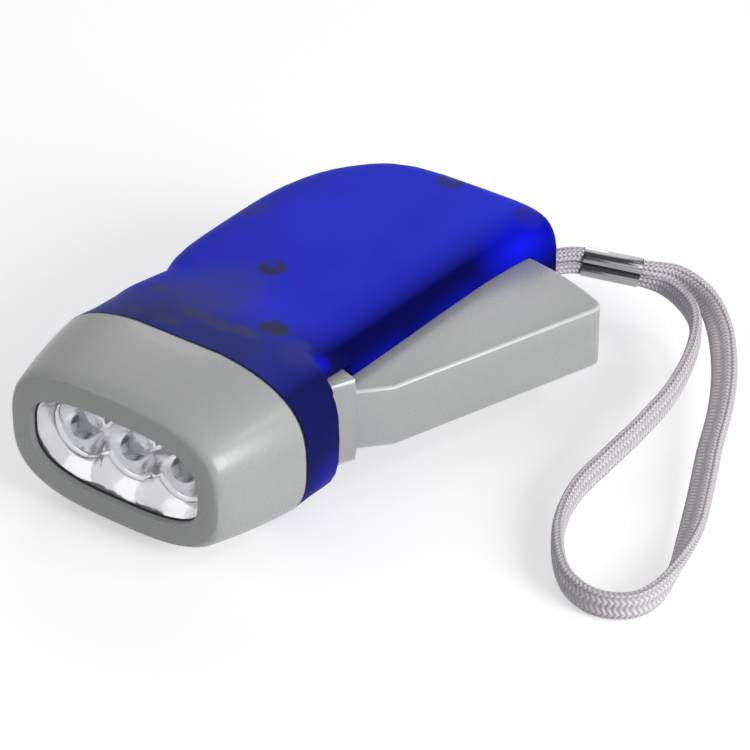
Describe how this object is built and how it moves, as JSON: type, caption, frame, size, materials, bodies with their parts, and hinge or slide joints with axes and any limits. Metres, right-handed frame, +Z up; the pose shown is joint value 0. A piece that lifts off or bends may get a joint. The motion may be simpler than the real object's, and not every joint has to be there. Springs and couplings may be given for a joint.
{
  "type": "hand-press dynamo torch",
  "caption": "Palm-sized torch with a blue case, a grey lamp head behind a clear window, and a sprung squeeze lever that drives a generator through gears. It has a wrist strap.",
  "frame": {"origin": "on the resting flat of the lower shell, under the middle of the grip", "axes": "+X along the beam, +Y towards the lever, +Z up through the case's thickness"},
  "size_m": [0.1122, 0.1125, 0.031],
  "materials": {
    "blue_case": "frosted translucent blue",
    "grey_plastic": "satin fine texture",
    "clear": "clear moulded",
    "gasket": "matte",
    "bright_plate": "bright plated",
    "steel": "plain",
    "gear_plastic": "moulded",
    "magnet": "dark",
    "black_plastic": "moulded",
    "copper": "enamelled copper",
    "board": "circuit board",
    "lead": "insulated lead",
    "braid": "woven flat braid"
  },
  "bodies": {
    "case": {"upper_shell": "blue_case", "lower_shell": "blue_case", "bezel": "grey_plastic", "lens": "clear", "led_1": "clear", "led_2": "clear", "led_3": "clear", "lens_gasket": "gasket", "reflector": "bright_plate", "strap_ferrule": "bright_plate", "lever_pin": "steel", "lever_spring": "steel", "first_shaft": "steel", "second_shaft": "steel", "rotor_shaft": "steel", "stator_can": "steel", "gear_plate": "steel", "plate_screws": "steel", "storage_cell": "steel", "case_screws": "steel", "strap_pin": "steel", "coil_bobbin": "black_plastic", "cell_holder": "black_plastic", "coil_winding": "copper", "led_board": "board", "wiring": "lead", "strap": "braid"},
    "lever": {"lever": "grey_plastic"},
    "first_gear": {"first_gear": "gear_plastic"},
    "second_gear": {"second_gear": "gear_plastic"},
    "rotor": {"rotor_gear": "gear_plastic", "rotor_magnet": "magnet"}
  },
  "joints": [
    {"name": "lever_hinge", "type": "hinge", "parent": "case", "child": "lever", "pos_m": [0.0205, 0.0175, 0.0155], "axis": [0, 0, 1], "range_deg": [0, 19], "stiffness_Nm_per_rad": 2, "springref_deg": -14.32, "deforming": ["lever_spring"]},
    {"name": "first_spin", "type": "hinge", "parent": "case", "child": "first_gear", "pos_m": [-0.01381, 0.00364, 0.0155], "axis": [0, 0, 1], "range_deg": [-5, 164]},
    {"name": "second_spin", "type": "hinge", "parent": "case", "child": "second_gear", "pos_m": [0.00203, -0.00197, 0.0155], "axis": [0, 0, 1], "range_deg": [-617, 10]},
    {"name": "rotor_spin", "type": "hinge", "parent": "case", "child": "rotor", "pos_m": [0.01209, -0.0085, 0.0155], "axis": [0, 0, 1], "range_deg": [-30, 1850]}
  ],
  "couplings": [
    {"joint": "first_spin", "follows": "lever_hinge", "ratio": 8.4},
    {"joint": "second_spin", "follows": "lever_hinge", "ratio": -31.92},
    {"joint": "rotor_spin", "follows": "lever_hinge", "ratio": 95.76}
  ]
}
